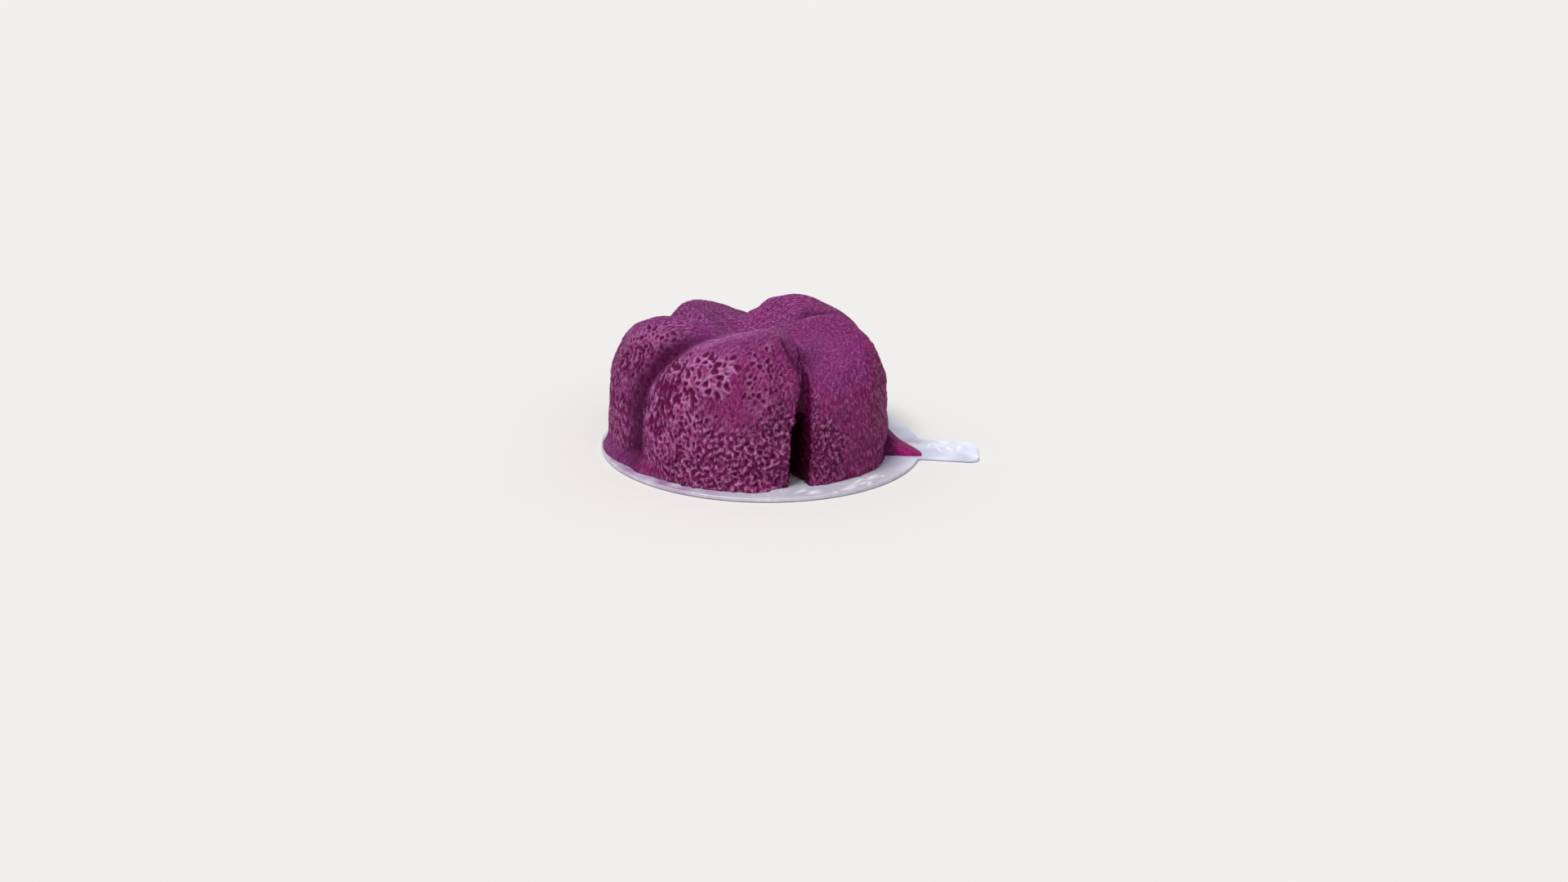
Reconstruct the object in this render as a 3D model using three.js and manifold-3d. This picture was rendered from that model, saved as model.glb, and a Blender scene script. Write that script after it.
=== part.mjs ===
// Small five-lobed moulded cake on a round cake board with a pull tab.
// Millimetres, +Z up. The origin is the centre of the board's underside and the tab points along +X.
import * as THREE from 'three';
import { mergeVertices } from 'three/addons/utils/BufferGeometryUtils.js';
import Module from 'manifold-3d';

const degree = Math.PI / 180;

// Round card board with one tab.
const boardRadius = 40;
const boardThickness = 1;
const tabEnd = 54.2;
const tabHalfWidth = 6.3;
const tabCornerRadius = 2.4;
const tabRootRadius = 1.8;

// The cake stands on the board a little off its centre.
const cakeX = -2.6;
const cakeY = -3.2;

// Azimuths are measured round the cake's own axis: 0 faces -Y and they grow towards +X.
const lobeCount = 5;
const firstLobe = -12 * degree;
const swirl = 55 * degree; // how far the furrows turn between the wall and the middle
const lobeLean = -0.46; // moves each crest to one side of its lobe
const wallRadius = 34.4;
const wallFurrow = 2.4; // depth of the furrows in the wall
const wallBreadth = 0.95; // a smaller breadth makes wide lobes and narrow furrows
const dipHeight = 26.2;
const crestHeight = 35.4;
const crestDistance = 24.8; // the top stops rising this far from the middle
const topFurrow = 5.8;
const topFurrowDistance = 26.6;
const topBreadth = 1.18;
const shoulder = 3.87; // exponent of the rounded corner between the top and the wall

// What each lobe has on top of the common shape: its own height and its own reach.
const lobeHeights = [2.4, -2.3, 1.5, -1.2, -0.2];
const lobeReaches = [-1.0, 0.4, 1.8, -1.0, 0.3];
const lobeFocus = 2.5;

// Places where the crumb spreads over the board: a low foot, and a thin skirt beside the tab.
const feet = [
  { from: -86, to: -42, fade: 14, reach: 2, height: 4, curve: 1.6 },
  { from: 86, to: 88, fade: 3.5, fadeAfter: 28, reach: 9.3, height: 9.5, curve: 2.6 },
];

// The crack runs up the furrow between two lobes, widest and deepest at the board.
const crackAzimuth = 29 * degree;
const crackWander = 10 * degree; // how far its top end turns along the furrow
const crackTop = 27.5;
const crackHalfWidth = 2.45;
const crackTipHalfWidth = 0.08;
const crackDeepRadius = 19; // its inner edge at the board, from the cake's axis
const crackInnerRise = 11; // how much farther out the inner edge lies at the top
const crackShallowRadius = 25.5;
const crackOuterRadius = 44; // safely outside the wall
const crackNarrowing = 0.35; // inner width over outer width
const crackRagged = 0.2;
const crackRaggedLeft = 5; // how fast each lip wavers with height
const crackRaggedRight = 3.1;
const crackLevels = 16;

// Fineness of the cake's surface.
const columns = 150;
const rows = 30;

const clamp01 = (value) => Math.min(1, Math.max(0, value));
const smooth = (value) => clamp01(value) ** 2 * (3 - 2 * clamp01(value));

// 1 on a lobe's crest line and close to 0 in the furrow beside it.
function hump(phase, breadth) {
  const turned = phase - 2 * Math.PI * Math.round(phase / (2 * Math.PI));
  const leaning = turned + lobeLean * (1 + Math.cos(turned));
  return (Math.cos(leaning / 2) ** 2 + 0.003) ** (breadth / 2);
}

// Blends the five lobes' own values by how close each lobe is to the azimuth.
function blendLobes(values, azimuth) {
  let sum = 0;
  let total = 0;
  for (let lobe = 0; lobe < lobeCount; lobe += 1) {
    const centre = firstLobe + (2 * Math.PI * lobe) / lobeCount;
    const weight = Math.exp(lobeFocus * Math.cos(azimuth - centre));
    sum += weight * values[lobe];
    total += weight;
  }
  return sum / total;
}

function wallAt(azimuth) {
  const furrow = wallFurrow * (1 - hump(lobeCount * (azimuth - firstLobe), wallBreadth));
  return wallRadius + blendLobes(lobeReaches, azimuth) - furrow;
}

function topAt(azimuth, distance) {
  const turn = swirl * (1 - Math.min(distance / wallRadius, 1.2));
  const furrow = topFurrow * (1 - hump(lobeCount * (azimuth - firstLobe - turn), topBreadth));
  const crest = crestHeight + blendLobes(lobeHeights, azimuth);
  const rise = (crest - dipHeight) * smooth(distance / crestDistance);
  return dipHeight + rise - furrow * smooth(distance / topFurrowDistance);
}

// How far the foot of the cake reaches out past its wall.
function footAt(azimuth, height) {
  let reach = 0;
  for (const foot of feet) {
    const angle = azimuth / degree;
    const before = smooth((angle - foot.from + foot.fade) / foot.fade);
    const fadeAfter = foot.fadeAfter ?? foot.fade;
    const after = smooth((foot.to + fadeAfter - angle) / fadeAfter);
    reach += foot.reach * before * after * clamp01(1 - height / foot.height) ** foot.curve;
  }
  return reach;
}

// A point of the cake's outside. The slope runs from 0 in the middle of the top to 90 degrees at the foot.
function cakePoint(azimuth, slope) {
  const across = Math.sin(slope);
  const up = Math.cos(slope);
  const scale = (across ** shoulder + up ** shoulder) ** (-1 / shoulder);
  const distance = wallAt(azimuth) * across * scale;
  const height = slope < Math.PI / 2 ? topAt(azimuth, distance) * up * scale : 0;
  const spread = distance + footAt(azimuth, height) * smooth(distance / wallRadius);
  return [spread * Math.sin(azimuth), -spread * Math.cos(azimuth), height];
}

function wholeCake() {
  const points = [[0, 0, dipHeight]];
  const triangles = [];
  for (let row = 1; row <= rows; row += 1) {
    for (let column = 0; column < columns; column += 1) {
      const azimuth = -Math.PI + (2 * Math.PI * column) / columns;
      points.push(cakePoint(azimuth, (Math.PI / 2) * (row / rows)));
    }
  }
  points.push([0, 0, 0]);
  const under = points.length - 1;
  const at = (row, column) => 1 + (row - 1) * columns + (column % columns);
  for (let column = 0; column < columns; column += 1) {
    triangles.push([0, at(1, column), at(1, column + 1)]);
    for (let row = 1; row < rows; row += 1) {
      triangles.push([at(row, column), at(row + 1, column), at(row + 1, column + 1)]);
      triangles.push([at(row, column), at(row + 1, column + 1), at(row, column + 1)]);
    }
    triangles.push([at(rows, column), under, at(rows, column + 1)]);
  }
  return meshGeometry(points, triangles);
}

// The space that the crack leaves: a wedge with uneven sides, from 1 mm below the cake up to its tip.
function crackSpace() {
  const points = [];
  const triangles = [];
  for (let level = 0; level <= crackLevels; level += 1) {
    const share = level / crackLevels;
    const height = (crackTop + 1) * share - 1;
    const raised = clamp01(height / crackTop);
    const azimuth = crackAzimuth + crackWander * raised ** 4;
    const inner = Math.min(crackShallowRadius, crackDeepRadius + crackInnerRise * raised ** 2);
    const half = crackHalfWidth * (1 - raised ** 2) + crackTipHalfWidth;
    const ragged = crackRagged * (1 - raised);
    const left = half + ragged * Math.sin(crackRaggedLeft * height);
    const right = half + ragged * Math.sin(crackRaggedRight * height);
    const out = [Math.sin(azimuth), -Math.cos(azimuth)];
    const side = [Math.cos(azimuth), Math.sin(azimuth)];
    const corner = (radius, offset) => [
      out[0] * radius + side[0] * offset,
      out[1] * radius + side[1] * offset,
      height,
    ];
    points.push(corner(crackOuterRadius, -left), corner(crackOuterRadius, right));
    points.push(corner(inner, crackNarrowing * right), corner(inner, -crackNarrowing * left));
  }
  for (let level = 0; level < crackLevels; level += 1) {
    for (let edge = 0; edge < 4; edge += 1) {
      const here = 4 * level + edge;
      const next = 4 * level + ((edge + 1) % 4);
      triangles.push([here, next, next + 4], [here, next + 4, here + 4]);
    }
  }
  const top = 4 * crackLevels;
  triangles.push([0, 2, 1], [0, 3, 2], [top, top + 1, top + 2], [top, top + 2, top + 3]);
  return meshGeometry(points, triangles);
}

function meshGeometry(points, triangles) {
  const geometry = new THREE.BufferGeometry();
  geometry.setAttribute('position', new THREE.Float32BufferAttribute(points.flat(), 3));
  geometry.setIndex(triangles.flat());
  return geometry;
}

// Board outline: a disc whose edge runs through two small fillets into the tab.
function boardOutline() {
  const filletY = tabHalfWidth + tabRootRadius;
  const filletX = Math.sqrt((boardRadius + tabRootRadius) ** 2 - filletY ** 2);
  const meeting = Math.atan2(filletY, filletX);
  const corner = tabCornerRadius;
  const outline = new THREE.Shape();
  outline.absarc(0, 0, boardRadius, meeting, 2 * Math.PI - meeting, false);
  outline.absarc(filletX, -filletY, tabRootRadius, Math.PI - meeting, Math.PI / 2, true);
  outline.absarc(tabEnd - corner, corner - tabHalfWidth, corner, -Math.PI / 2, 0, false);
  outline.absarc(tabEnd - corner, tabHalfWidth - corner, corner, 0, Math.PI / 2, false);
  outline.absarc(filletX, filletY, tabRootRadius, -Math.PI / 2, meeting - Math.PI, true);
  return outline;
}

const wasm = await Module();
wasm.setup();

function solid(geometry) {
  const plain = geometry.clone();
  plain.deleteAttribute('normal');
  plain.deleteAttribute('uv');
  const merged = mergeVertices(plain);
  return new wasm.Manifold(new wasm.Mesh({
    numProp: 3,
    vertProperties: new Float32Array(merged.attributes.position.array),
    triVerts: new Uint32Array(merged.index.array),
  }));
}

function geometryOf(manifold) {
  const mesh = manifold.getMesh();
  const geometry = new THREE.BufferGeometry();
  geometry.setAttribute('position', new THREE.Float32BufferAttribute(mesh.vertProperties, mesh.numProp));
  geometry.setIndex(new THREE.Uint32BufferAttribute(mesh.triVerts, 1));
  geometry.computeVertexNormals();
  return geometry;
}

function makeCake() {
  const geometry = geometryOf(solid(wholeCake()).subtract(solid(crackSpace())));
  const crumb = new THREE.MeshStandardMaterial({ color: 0x7c1f5c, roughness: 0.8, metalness: 0 });
  const cake = new THREE.Mesh(geometry, crumb);
  cake.name = 'cake';
  cake.position.set(cakeX, cakeY, boardThickness);
  return cake;
}

function makeBoard() {
  const settings = { depth: boardThickness, bevelEnabled: false, curveSegments: 56 };
  const geometry = new THREE.ExtrudeGeometry(boardOutline(), settings);
  const silver = new THREE.MeshStandardMaterial({ color: 0xc9c6d4, roughness: 0.35, metalness: 0.6 });
  const board = new THREE.Mesh(geometry, silver);
  board.name = 'cake_board';
  return board;
}

const object = new THREE.Group();
object.add(makeBoard(), makeCake());

export default object;
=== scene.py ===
import math

import bpy
import numpy as np
from mathutils import Matrix, Vector
from mathutils.bvhtree import BVHTree
from mathutils.kdtree import KDTree


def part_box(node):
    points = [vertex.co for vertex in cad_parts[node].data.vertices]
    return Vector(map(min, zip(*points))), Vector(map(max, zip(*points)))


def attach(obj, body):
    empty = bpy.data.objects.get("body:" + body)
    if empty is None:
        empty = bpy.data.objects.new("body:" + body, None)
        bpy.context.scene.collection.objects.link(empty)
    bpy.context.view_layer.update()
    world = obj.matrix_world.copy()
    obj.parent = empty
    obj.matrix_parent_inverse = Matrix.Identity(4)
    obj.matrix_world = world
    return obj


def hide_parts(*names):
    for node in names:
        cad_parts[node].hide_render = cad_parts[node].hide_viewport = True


# A small five-lobed moulded cake on its silver board with a pull tab.
# Shapes are worked out in millimetres and turned into metres when a piece is made.

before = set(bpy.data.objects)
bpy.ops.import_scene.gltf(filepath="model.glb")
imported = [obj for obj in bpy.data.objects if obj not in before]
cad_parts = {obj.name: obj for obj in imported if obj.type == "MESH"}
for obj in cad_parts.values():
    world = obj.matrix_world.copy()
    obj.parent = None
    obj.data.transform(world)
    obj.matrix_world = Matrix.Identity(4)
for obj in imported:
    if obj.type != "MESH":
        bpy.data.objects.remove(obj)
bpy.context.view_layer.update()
print("frame loaded")

millimetre = 0.001
degree = math.pi / 180


boardLow, boardHigh = (np.array(corner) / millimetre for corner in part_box("cake_board"))
cakeLow, cakeHigh = (np.array(corner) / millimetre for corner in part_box("cake"))
boardTop = boardHigh[2]


def smooth(value):
    value = np.clip(value, 0, 1)
    return value * value * (3 - 2 * value)


def mixed(first, second, share):
    return first * (1 - share) + second * share


def turned(angle):  # brings an angle in degrees to -180..180
    return (angle + 180) % 360 - 180


def newMesh(name, points, faces, scale=1.0):
    mesh = bpy.data.meshes.new(name)
    mesh.from_pydata((np.asarray(points) * scale).tolist(), [], faces)
    mesh.update()
    return mesh


def newObject(name, mesh):
    piece = bpy.data.objects.new(name, mesh)
    bpy.context.scene.collection.objects.link(piece)
    return piece


def applyModifiers(piece):
    bpy.context.view_layer.update()
    shaped = piece.evaluated_get(bpy.context.evaluated_depsgraph_get())
    mesh = bpy.data.meshes.new_from_object(shaped)
    piece.modifiers.clear()
    old = piece.data
    piece.data = mesh
    bpy.data.meshes.remove(old)
    return mesh


def vectorsOf(items, name):
    numbers = np.empty(len(items) * 3, np.float32)
    items.foreach_get(name, numbers)
    return numbers.reshape(-1, 3).astype(float)


def countsOf(items, name):
    numbers = np.empty(len(items), np.int32)
    items.foreach_get(name, numbers)
    return numbers


def movePoints(mesh, points):
    mesh.vertices.foreach_set("co", points.astype(np.float32).ravel())
    mesh.update()


def azimuthOf(x, y):  # degrees; 0 faces -Y and angles grow towards +X
    return np.degrees(np.arctan2(x, -y))


def ringFaces(rings, columns, first=0):  # between rings of points that follow one another
    faces = []
    for ring in range(rings - 1):
        for column in range(columns):
            here = first + ring * columns + column
            beside = first + ring * columns + (column + 1) % columns
            faces.append((here, here + columns, beside + columns, beside))
    return faces


def closedFaces(rings, columns):  # over a first point, rings of points, and a last point
    low = 1 + (rings - 1) * columns
    following = [(column + 1) % columns for column in range(columns)]
    faces = [(0, 1 + column, 1 + after) for column, after in enumerate(following)]
    faces += ringFaces(rings, columns, 1)
    return faces + [(low + column, low + columns, low + after) for column, after in enumerate(following)]


def paint(mesh, name, values):  # a value for every point, which a material reads by its name
    layer = mesh.attributes.new(name, "FLOAT", "POINT")
    layer.data.foreach_set("value", np.clip(values, 0, 1).astype(np.float32))


# The cake's form is the CAD cake's. Its feet have one more, a small curled lip.
cakeForm = {
    "lobes": 5,
    "firstLobe": -12,
    "swirl": 55,
    "lean": -0.46,
    "wallRadius": 34.4,
    "wallFurrow": 2.4,
    "wallBreadth": 0.95,
    "furrowRounding": 0.003,
    "dipHeight": 26.2,
    "crestHeight": 35.4,
    "crestDistance": 24.8,
    "topFurrow": 5.8,
    "topFurrowDistance": 26.6,
    "topBreadth": 1.18,
    "shoulder": 3.87,
    "lobeHeights": [2.4, -2.3, 1.5, -1.2, -0.2],
    "lobeReaches": [-1.0, 0.4, 1.8, -1.0, 0.3],
    "lobeFocus": 2.5,
    "columns": 560,
    "rows": 150,
}

cakeFeet = [
    {"from": -86, "to": -42, "fade": 14, "fadeAfter": 14, "reach": 2, "height": 4, "curve": 1.6},
    {"from": 86, "to": 88, "fade": 3.5, "fadeAfter": 28, "reach": 9.3, "height": 9.5, "curve": 2.6},
    {"from": 9, "to": 15, "fade": 3, "fadeAfter": 3, "reach": 1.0, "height": 1.7, "curve": 1},
]


def hump(phase, breadth):
    phase = phase - 2 * np.pi * np.round(phase / (2 * np.pi))
    leaning = phase + cakeForm["lean"] * (1 + np.cos(phase))
    return (np.cos(leaning / 2) ** 2 + cakeForm["furrowRounding"]) ** (breadth / 2)


def blendLobes(values, azimuth):
    total = 0
    weights = 0
    for lobe, value in enumerate(values):
        centre = cakeForm["firstLobe"] * degree + 2 * np.pi * lobe / cakeForm["lobes"]
        weight = np.exp(cakeForm["lobeFocus"] * np.cos(azimuth - centre))
        total = total + weight * value
        weights = weights + weight
    return total / weights


def lobePhase(azimuth):
    return cakeForm["lobes"] * (azimuth - cakeForm["firstLobe"] * degree)


def swirlAt(distance):  # how far the furrows have turned on their way in
    return cakeForm["swirl"] * degree * (1 - np.minimum(distance / cakeForm["wallRadius"], 1.2))


def wallAt(azimuth):
    furrow = cakeForm["wallFurrow"] * (1 - hump(lobePhase(azimuth), cakeForm["wallBreadth"]))
    return cakeForm["wallRadius"] + blendLobes(cakeForm["lobeReaches"], azimuth) - furrow


def topAt(azimuth, distance):
    form = cakeForm
    furrow = form["topFurrow"] * (1 - hump(lobePhase(azimuth - swirlAt(distance)), form["topBreadth"]))
    crest = form["crestHeight"] + blendLobes(form["lobeHeights"], azimuth)
    rise = (crest - form["dipHeight"]) * smooth(distance / form["crestDistance"])
    return form["dipHeight"] + rise - furrow * smooth(distance / form["topFurrowDistance"])


def footAt(azimuth, height):
    angle = azimuth / degree
    reach = 0
    for foot in cakeFeet:
        before = smooth((angle - foot["from"] + foot["fade"]) / foot["fade"])
        after = smooth((foot["to"] + foot["fadeAfter"] - angle) / foot["fadeAfter"])
        low = np.clip(1 - height / foot["height"], 0, 1) ** foot["curve"]
        reach = reach + foot["reach"] * before * after * low
    return reach


def profile(slope):  # the rounded shoulder; slope is 0 in the top's middle and a right angle at the foot
    across, up = np.sin(slope), np.cos(slope)
    power = cakeForm["shoulder"]
    return across, up, (across ** power + up ** power) ** (-1 / power)


def cakeOutside():
    columns, rows = cakeForm["columns"], cakeForm["rows"]
    azimuth = np.linspace(-np.pi, np.pi, columns, endpoint=False)[None, :]
    slope = (np.pi / 2) * np.arange(1, rows + 1)[:, None] / rows
    across, up, scale = profile(slope)
    distance = wallAt(azimuth) * across * scale
    height = topAt(azimuth, distance) * up * scale
    height[-1] = 0
    spread = distance + footAt(azimuth, height) * smooth(distance / cakeForm["wallRadius"])
    points = np.stack([spread * np.sin(azimuth), -spread * np.cos(azimuth), height], axis=-1)
    points = np.concatenate([[[0, 0, cakeForm["dipHeight"]]], points.reshape(-1, 3), [[0, 0, 0]]])
    return newMesh("cakeOutside", points, closedFaces(rows, columns))


# The crack runs down the furrow right of the front lobe.
crack = {
    "azimuth": 29.5,
    "wander": 10,
    "top": 28,
    "halfWidth": 2.1,
    "tipHalfWidth": 0.08,
    "deepRadius": 19,
    "grooveRadius": 28.6,
    "grooveDrop": 5.4,
    "outerRadius": 44,
    "narrowing": 0.35,
    "levels": 90,
    "steps": 24,  # points along each side, so that its walls can be rough
    "ragged": 0.22,
    "ledge": 15,  # below this height the left side opens wider, above it the lobe curves in
    "wider": 0.5,
    "roundedIn": 1.7,
    "seed": 5,
}


def waves(points, pitch, seed, stretch=(1.0, 1.0, 1.0), spread=0.3, count=36):
    # An even field of ridges and hollows about one pitch apart, mostly from -2 to 2, longer where stretched.
    dice = np.random.default_rng(seed)
    directions = dice.normal(size=(count, points.shape[1]))
    directions /= np.linalg.norm(directions, axis=1)[:, None]
    numbers = 2 * np.pi / pitch * (1 + spread * dice.uniform(-1, 1, count))
    starts = dice.uniform(0, 2 * np.pi, count)
    total = np.zeros(len(points))
    for direction, number, start in zip(directions, numbers, starts):
        total += np.cos(points @ (direction * number / np.array(stretch[:points.shape[1]])) + start)
    return total * math.sqrt(2 / count)


def crackCutter():
    levels, steps = crack["levels"], crack["steps"]
    height = np.linspace(-1, crack["top"], levels + 1)[:, None]
    raised = np.clip(height / crack["top"], 0, 1)
    azimuth = (crack["azimuth"] + crack["wander"] * raised ** 4) * degree
    shallow = smooth((height - crack["ledge"] + 1.5) / 3)
    groove = crack["grooveRadius"] - crack["grooveDrop"] * smooth((height - 18) / 11)
    inner = mixed(crack["deepRadius"], groove, shallow)
    half = crack["halfWidth"] * (1 - raised ** 3.4) + crack["tipHalfWidth"]
    along = np.linspace(0, 1, steps)[None, :]
    radius = mixed(inner, crack["outerRadius"], along)
    narrow = mixed(mixed(crack["narrowing"], 0.9, shallow), 1, smooth(along * 1.6))
    grid = np.stack([radius.ravel(), np.repeat(height, steps, axis=1).ravel()], axis=1)
    rough = crack["ragged"] * (1 - 0.8 * raised)
    sides = []
    for side, seed in ((-1, crack["seed"]), (1, crack["seed"] + 1)):
        jag = waves(grid, 2.1, seed).reshape(radius.shape)
        jag = jag + 0.6 * waves(grid, 1.0, seed + 7).reshape(radius.shape)
        wide = half * narrow + rough * jag * np.minimum(1, half)
        if side < 0:
            wide = wide + crack["wider"] * smooth((crack["ledge"] - height) / 1.5)
            rounding = smooth((height - crack["ledge"]) / 3) * smooth((crack["top"] + 1 - height) / 4)
            wide = wide + crack["roundedIn"] * rounding * smooth((radius - 29) / 6) ** 1.5
        offset = side * np.maximum(wide, 0.03)
        x = np.sin(azimuth) * radius + np.cos(azimuth) * offset
        y = -np.cos(azimuth) * radius + np.sin(azimuth) * offset
        z = np.broadcast_to(height, radius.shape)
        sides.append(np.stack([x, y, z], axis=-1))
    # each level's ring goes from the left outer edge inwards, and out again
    ring = np.concatenate([sides[0][:, ::-1], sides[1]], axis=1)
    around = 2 * steps
    faces = ringFaces(levels + 1, around)
    faces.append(tuple(range(around)))
    faces.append(tuple(reversed(range(levels * around, (levels + 1) * around))))
    return newMesh("crackCutter", ring.reshape(-1, 3), faces)


def placesOn(points, normals, uncut):
    reach = np.hypot(points[:, 0], points[:, 1])
    azimuth = azimuthOf(points[:, 0], points[:, 1])
    depth = np.array([uncut.find_nearest(Vector(point))[3] for point in points])
    return {
        "azimuth": azimuth,
        "distance": reach,
        "height": points[:, 2],
        "facingUp": normals[:, 2],
        "wobble": waves(points, 6, 90, count=24),
        "inside": smooth((depth - 0.2) / 0.6),  # 1 on the crack's walls
        # how far into the crack, where its walls take the painted shade
        "deep": smooth((depth - 0.2) / mixed(0.7, 1.5, smooth((points[:, 2] - 13) / 4))),
        "under": smooth((0.12 - points[:, 2]) / 0.1),
    }


def patch(places, azimuth, height, halfWidth, halfHeight, soft=0.45):
    # 1 inside an oval area of the wall, fading past its wandering edge
    across = turned(places["azimuth"] - azimuth) / halfWidth
    up = (places["height"] - height) / halfHeight
    reach = np.hypot(across, up) + 0.12 * places["wobble"]
    return smooth((1 + soft - reach) / soft)


# Patches of pits: where each is and half its extent, as azimuth and height, the spacing between pits, half a
# pit's width, how much longer than wide it is, its depth and lean, and how pale the crumb round it is.
pitPatches = [
    dict(at=(-15, 25.2), half=(15, 4.6), spacing=2.2, size=0.68, stretch=1.2, depth=0.55, lean=-15, web=0.8),
    dict(at=(-34, 19.5), half=(9, 6.5), spacing=2.1, size=0.6, stretch=2.2, depth=0.6, lean=-6, web=1.0),
    dict(at=(-27, 15), half=(14, 8), spacing=1.6, size=0.4, stretch=1.7, depth=0.45, lean=-15, web=0.8),
    dict(at=(14, 23.5), half=(7, 6.5), spacing=1.5, size=0.44, stretch=1.15, depth=0.38, lean=20, web=0.5),
    dict(at=(2, 20), half=(9, 6), spacing=2.5, size=0.5, stretch=1.2, depth=0.14, lean=0, web=0.15),
    dict(at=(3, 7), half=(24, 10), spacing=1.6, size=0.4, stretch=1.25, depth=0.36, lean=-20, web=0.35),
    dict(at=(-55, 27), half=(15, 4.6), spacing=1.6, size=0.46, stretch=1.25, depth=0.5, lean=-15, web=0.7),
    dict(at=(-58, 20), half=(13, 6), spacing=1.7, size=0.42, stretch=2.2, depth=0.5, lean=-6, web=0.6),
    dict(at=(41, 6.5), half=(5, 6), spacing=1.3, size=0.4, stretch=1.1, depth=0.42, lean=0, web=0.5),
    dict(at=(110, 22), half=(14, 8), spacing=2.0, size=0.4, stretch=1.8, depth=0.4, lean=-8, web=0.4),
    dict(at=(148, 9), half=(18, 9), spacing=1.9, size=0.42, stretch=1.2, depth=0.4, lean=0, web=0.35),
    dict(at=(-165, 25), half=(15, 5), spacing=1.9, size=0.5, stretch=1.2, depth=0.5, lean=-10, web=0.45),
    dict(at=(-148, 12), half=(16, 9), spacing=1.7, size=0.4, stretch=1.9, depth=0.45, lean=-8, web=0.4),
    dict(at=(-100, 22), half=(12, 8), spacing=1.9, size=0.38, stretch=2.0, depth=0.4, lean=-10, web=0.5),
]


def pitsIn(places, points, normals, tree, settings, seed):
    dice = np.random.default_rng(seed)
    room = patch(places, *settings["at"], *settings["half"]) * (1 - places["inside"])
    room *= smooth((0.86 - places["facingUp"]) / 0.12) * smooth((places["height"] - 0.5) / 1.2)
    candidates = dice.permutation(np.flatnonzero(room > 0.25))[:6000]
    chosen = []
    spots = np.empty((0, 3))
    for index in candidates:
        gap = settings["spacing"] * dice.uniform(0.6, 1.3)
        if len(spots) and np.min(np.sum((spots - points[index]) ** 2, axis=1)) < gap * gap:
            continue
        spots = np.vstack([spots, points[index]])
        chosen.append(index)
    sink, rim = np.zeros((2, len(points)))
    for index in chosen:
        size = settings["size"] * dice.uniform(0.45, 1.4) * mixed(0.75, 1, room[index])
        stretch = settings["stretch"] * dice.uniform(0.8, 1.3)
        depth = settings["depth"] * mixed(0.7, 1, room[index]) * min(1.2, size / settings["size"])
        up = np.array([0, 0, 1]) - normals[index] * normals[index][2]
        up /= np.linalg.norm(up)
        side = np.cross(up, normals[index])
        lean = (settings["lean"] + dice.normal(0, 14)) * degree
        long = up * math.cos(lean) + side * math.sin(lean)
        wide = side * math.cos(lean) - up * math.sin(lean)
        bumps = dice.uniform(0, 2 * math.pi, 2)
        found = tree.find_range(Vector(points[index]), 1.8 * size * stretch)
        near = np.array([place[1] for place in found])
        away = points[near] - points[index]
        first = away @ wide / size
        second = away @ long / (size * stretch)
        corner = np.arctan2(second, first)
        reach = np.hypot(first, second)
        reach *= 1 + 0.2 * np.sin(2 * corner + bumps[0]) + 0.16 * np.sin(3 * corner + bumps[1])
        sink[near] = np.maximum(sink[near], depth * smooth((1.2 - reach) / 0.95))
        rim[near] = np.maximum(rim[near], depth * np.exp(-((reach - 1.3) / 0.4) ** 2))
    return sink, rim, room * settings["web"]


crumb = {
    "voxel": 0.29,
    "bulges": 0.16,  # heights, pitches and lengths are in millimetres
    "bulgePitches": (10, 5),
    "grain": 0.07,
    "grainPitch": 0.85,
    "wallGrainPitch": 0.9,
    "coral": 0.22,
    "coralPitch": 1.4,
    "coralFinePitch": 0.85,
    "streaks": 0.13,
    "streakPitch": 0.95,
    "streakLength": 3.2,
    "streakLean": 0.2,
    "furrow": 0.8,
    "crackRough": 0.1,
    "crackPitches": (1.5, 0.8),
    "rim": 0.12,
    "raggedFoot": 0.2,
    "footPitch": 2.6,
    "patchPitch": 3.2,
}


def wallWaves(places, pitch, seed, longer=1.0, lean=0.0, spread=0.3, count=44):
    # Ridges drawn up the wall and on over the top along the swirl.
    # Each wave has a whole number of turns round the cake, so that it closes on itself.
    dice = np.random.default_rng(seed)
    radius = cakeForm["wallRadius"] - 1
    inward = np.maximum(radius - places["distance"], 0)
    angle = (places["azimuth"] - cakeForm["swirl"] * np.minimum(inward / radius, 1)) * degree
    climb = places["height"] + inward
    total = np.zeros(len(angle))
    for _ in range(count):
        heading = dice.uniform(0, 2 * np.pi)
        number = 2 * np.pi / pitch * (1 + spread * dice.uniform(-1, 1))
        turns = round(number * math.cos(heading) * radius)
        rise = number * math.sin(heading) / longer + lean * turns / radius
        total += np.cos(turns * angle + rise * climb + dice.uniform(0, 2 * np.pi))
    return total * math.sqrt(2 / count)


# Parts of the wall between two azimuths, and over how many degrees each fades.
spans = {
    "front": (-48, 26, 6),
    "left": (-118, -48, 6),
    "right": (26, 97, 6),
    "rear": (97, 242, 6),
    "rearLeft": (-170, -110, 14),
    "rearWarmth": (97, 242, 40),
    "rightStreaks": (62, 100, 20),
    "rightWarmth": (62, 110, 24),
    "rightDark": (60, 97, 16),
    "leftCool": (-118, -40, 30),
    "leftFilm": (-100, -30, 8),
    "rightFilm": (78, 118, 6),
    "flap": (78, 116, 5),
}

# Oval parts of the wall: azimuth, height, half the width, half the height, and how softly some of them end.
ovals = {
    "frontSoft": (3, 20.5, 10, 5.5, 0.6),
    "frontCrest": (-2, 30.5, 26, 3.2, 0.6),
    "frontCoral": (2, 6, 25, 10.5),
    "crackCoral": (41, 7, 6, 7.5),
    "frontStreaks": (-36, 12, 14, 13),
    "violet": (52, 27.5, 13, 5, 0.8),
}


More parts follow.
